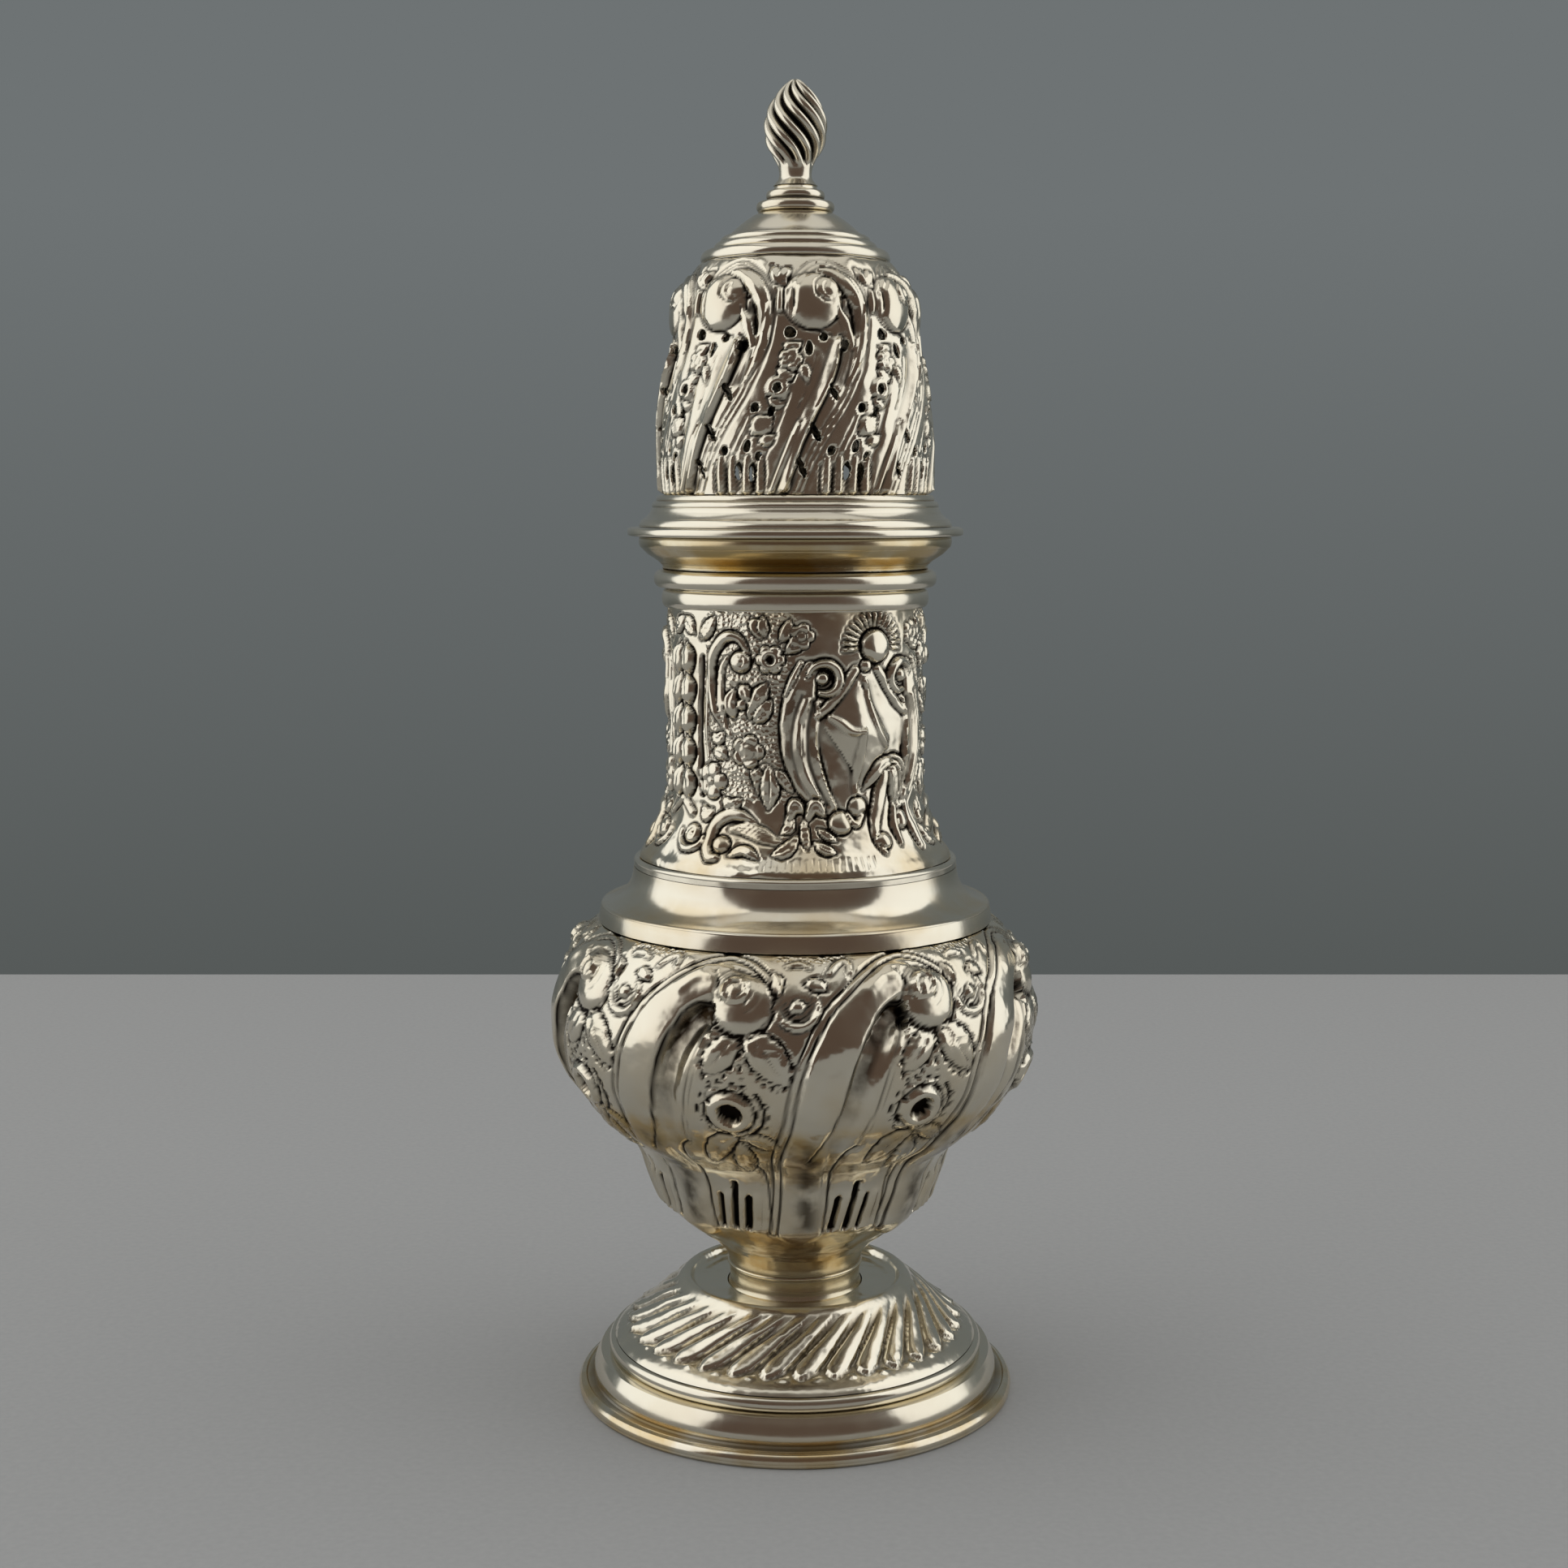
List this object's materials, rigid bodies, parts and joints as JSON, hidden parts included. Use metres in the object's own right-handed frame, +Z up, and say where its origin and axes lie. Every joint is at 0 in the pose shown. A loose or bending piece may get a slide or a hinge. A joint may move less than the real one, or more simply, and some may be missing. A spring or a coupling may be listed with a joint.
{
  "type": "sugar caster",
  "caption": "Tall baluster sugar caster in chased silver, with a swirl-lobed bowl on a gadrooned foot and a pierced lift-off cover topped by a twisted bud finial",
  "frame": {"origin": "centre of the foot, on the surface that the caster stands on", "axes": "+Z is up along the caster's axis; -Y is the front seen in the picture; +X is to the viewer's right"},
  "size_m": [0.0754, 0.0754, 0.2],
  "materials": {
    "silver": "polished chased silver, warm, darkened in the recesses",
    "toned_silver": "polished silver toned golden by old tarnish"
  },
  "bodies": {
    "body": {"foot_rim": "silver", "foot_bead": "silver", "foot_dome": "silver", "stem": "toned_silver", "bowl": "silver", "shoulder": "silver", "neck_base_wire": "silver", "neck": "silver", "neck_wire_lower": "silver", "neck_wire_upper": "silver", "neck_lip": "toned_silver"},
    "cover": {"cover_bezel": "silver", "cover_flange": "silver", "cover_rim_moulding": "silver", "cover_dome": "silver", "crown_wire": "silver", "cover_crown": "silver", "finial_button": "silver", "finial": "silver"}
  },
  "joints": [
    {"name": "cover_lift", "type": "slide", "parent": "body", "child": "cover", "axis": [0, 0, 1], "range_m": [0, 0.04]}
  ]
}
